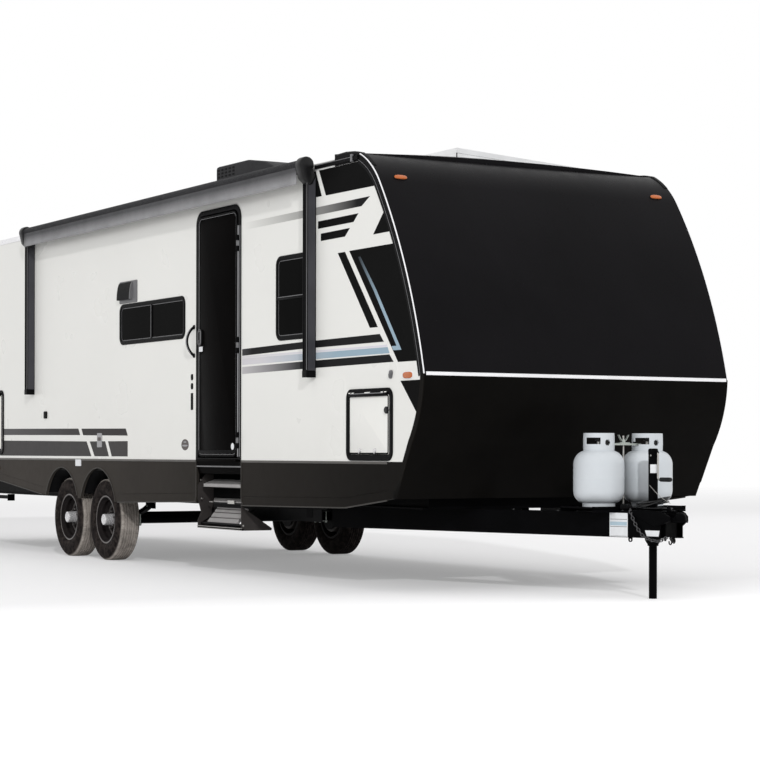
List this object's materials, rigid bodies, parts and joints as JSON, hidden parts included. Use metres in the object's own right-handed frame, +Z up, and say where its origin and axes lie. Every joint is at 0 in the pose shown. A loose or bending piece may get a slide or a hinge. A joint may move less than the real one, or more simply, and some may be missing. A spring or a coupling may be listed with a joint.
{
  "type": "travel caravan",
  "caption": "Tandem-axle travel caravan with an A-frame tongue, hollow cabin, entry door, luggage bays, folding step, stabilisers and roof vents.",
  "frame": {"origin": "on the ground under the tongue jack, on the caravan's middle plane", "axes": "+X forward along the drawbar, +Y to the left (road) side, +Z up"},
  "size_m": [10.6576, 2.588, 3.33],
  "materials": {
    "awning_fabric": "rolled dark fabric",
    "bare_steel": "plated steel",
    "belly_plastic": "corrugated black sheet",
    "bottle_white": "white enamel",
    "cable_rubber": "black cable sheath",
    "charcoal": "satin charcoal",
    "cover_plastic": "white plastic",
    "dark_panel": "dark cells under glass",
    "floor_wood": "plain board",
    "frame_steel": "black enamel on steel",
    "gloss_black": "smooth gloss black moulding",
    "lamp_lens": "amber lens",
    "roof_skin": "white roofing membrane",
    "satin_black": "satin black",
    "smoke_plastic": "smoked plastic",
    "textured_black": "textured black moulding",
    "tinted_glass": "dark tinted glass",
    "tyre_rubber": "black rubber",
    "wall_skin": "gloss white aluminium skin",
    "wheel_steel": "gunmetal painted steel",
    "zinc": "zinc plated"
  },
  "bodies": {
    "caravan": {"air_conditioner": "satin_black", "awning_frame": "satin_black", "awning_roller": "awning_fabric", "axles": "frame_steel", "bay_frames": "charcoal", "beam_brackets": "frame_steel", "belly_sheet": "belly_plastic", "bottle_tray": "frame_steel", "coupler": "frame_steel", "entry_frame": "satin_black", "floor_deck": "floor_wood", "gas_bottles": "bottle_white", "grab_handle": "satin_black", "inner_boards": "floor_wood", "jack_body": "frame_steel", "lamps": "lamp_lens", "leaf_springs": "frame_steel", "main_frame": "frame_steel", "nose_lower": "textured_black", "nose_upper": "gloss_black", "rear_bumper": "frame_steel", "rear_wall": "wall_skin", "roof": "roof_skin", "roof_fairing": "gloss_black", "roof_vents": "bottle_white", "safety_chains": "zinc", "service_covers": "cover_plastic", "skirts": "charcoal", "solar_panel": "dark_panel", "step_frame": "frame_steel", "tongue_deck": "frame_steel", "tongue_rails": "frame_steel", "tow_cable": "cable_rubber", "tow_coil": "cable_rubber", "tow_plug": "satin_black", "wall_door_side": "wall_skin", "wall_road_side": "wall_skin", "window_frames": "satin_black", "window_glass": "tinted_glass"},
    "entry_door": {"entry_door": "gloss_black"},
    "bay_door_front_right": {"bay_door_front_right": "wall_skin"},
    "bay_door_front_left": {"bay_door_front_left": "wall_skin"},
    "bay_door_rear_right": {"bay_door_rear_right": "wall_skin"},
    "fold_step": {"fold_step": "frame_steel"},
    "jack_ram": {"jack_ram": "bare_steel"},
    "vent_lid_front": {"vent_lid_front": "smoke_plastic"},
    "vent_lid_rear": {"vent_lid_rear": "smoke_plastic"},
    "wheel_front_right": {"wheel_front_right": "wheel_steel", "tyre_front_right": "tyre_rubber"},
    "stabiliser_front_right": {"stabiliser_front_right": "frame_steel"},
    "wheel_front_left": {"wheel_front_left": "wheel_steel", "tyre_front_left": "tyre_rubber"},
    "stabiliser_front_left": {"stabiliser_front_left": "frame_steel"},
    "wheel_rear_right": {"wheel_rear_right": "wheel_steel", "tyre_rear_right": "tyre_rubber"},
    "stabiliser_rear_right": {"stabiliser_rear_right": "frame_steel"},
    "wheel_rear_left": {"wheel_rear_left": "wheel_steel", "tyre_rear_left": "tyre_rubber"},
    "stabiliser_rear_left": {"stabiliser_rear_left": "frame_steel"}
  },
  "joints": [
    {"name": "wheel_front_right_turn", "type": "hinge", "parent": "caravan", "child": "wheel_front_right", "pos_m": [-5.991, -1.085, 0.342], "axis": [0, 1, 0], "continuous": true},
    {"name": "wheel_front_left_turn", "type": "hinge", "parent": "caravan", "child": "wheel_front_left", "pos_m": [-5.991, 1.085, 0.342], "axis": [0, 1, 0], "continuous": true},
    {"name": "wheel_rear_right_turn", "type": "hinge", "parent": "caravan", "child": "wheel_rear_right", "pos_m": [-6.806, -1.085, 0.342], "axis": [0, 1, 0], "continuous": true},
    {"name": "wheel_rear_left_turn", "type": "hinge", "parent": "caravan", "child": "wheel_rear_left", "pos_m": [-6.806, 1.085, 0.342], "axis": [0, 1, 0], "continuous": true},
    {"name": "entry_door_swing", "type": "hinge", "parent": "caravan", "child": "entry_door", "pos_m": [-3.367, -1.241, 1.7], "axis": [0, 0, 1], "range_deg": [0, 165]},
    {"name": "bay_door_front_right_lift", "type": "hinge", "parent": "caravan", "child": "bay_door_front_right", "pos_m": [-1.4475, -1.235, 1.305], "axis": [-1, 0, 0], "range_deg": [0, 100]},
    {"name": "bay_door_front_left_lift", "type": "hinge", "parent": "caravan", "child": "bay_door_front_left", "pos_m": [-1.4475, 1.235, 1.305], "axis": [1, 0, 0], "range_deg": [0, 100]},
    {"name": "bay_door_rear_right_lift", "type": "hinge", "parent": "caravan", "child": "bay_door_rear_right", "pos_m": [-8.74, -1.235, 1.458], "axis": [-1, 0, 0], "range_deg": [0, 100]},
    {"name": "fold_step_drop", "type": "hinge", "parent": "caravan", "child": "fold_step", "pos_m": [-3.7145, -1.185, 0.372], "axis": [1, 0, 0], "range_deg": [0, 128]},
    {"name": "jack_travel", "type": "slide", "parent": "caravan", "child": "jack_ram", "axis": [0, 0, 1], "range_m": [0, 0.3]},
    {"name": "stabiliser_front_right_drop", "type": "hinge", "parent": "caravan", "child": "stabiliser_front_right", "pos_m": [-2.797, -0.9, 0.47], "axis": [0, -1, 0], "range_deg": [0, 50]},
    {"name": "stabiliser_front_left_drop", "type": "hinge", "parent": "caravan", "child": "stabiliser_front_left", "pos_m": [-2.797, 0.9, 0.47], "axis": [0, -1, 0], "range_deg": [0, 50]},
    {"name": "stabiliser_rear_right_drop", "type": "hinge", "parent": "caravan", "child": "stabiliser_rear_right", "pos_m": [-9.457, -0.9, 0.47], "axis": [0, 1, 0], "range_deg": [0, 50]},
    {"name": "stabiliser_rear_left_drop", "type": "hinge", "parent": "caravan", "child": "stabiliser_rear_left", "pos_m": [-9.457, 0.9, 0.47], "axis": [0, 1, 0], "range_deg": [0, 50]},
    {"name": "vent_lid_front_lift", "type": "hinge", "parent": "caravan", "child": "vent_lid_front", "pos_m": [-3.865, 0, 3.024], "axis": [0, -1, 0], "range_deg": [0, 80]},
    {"name": "vent_lid_rear_lift", "type": "hinge", "parent": "caravan", "child": "vent_lid_rear", "pos_m": [-8.265, 0, 3.024], "axis": [0, -1, 0], "range_deg": [0, 80]}
  ]
}
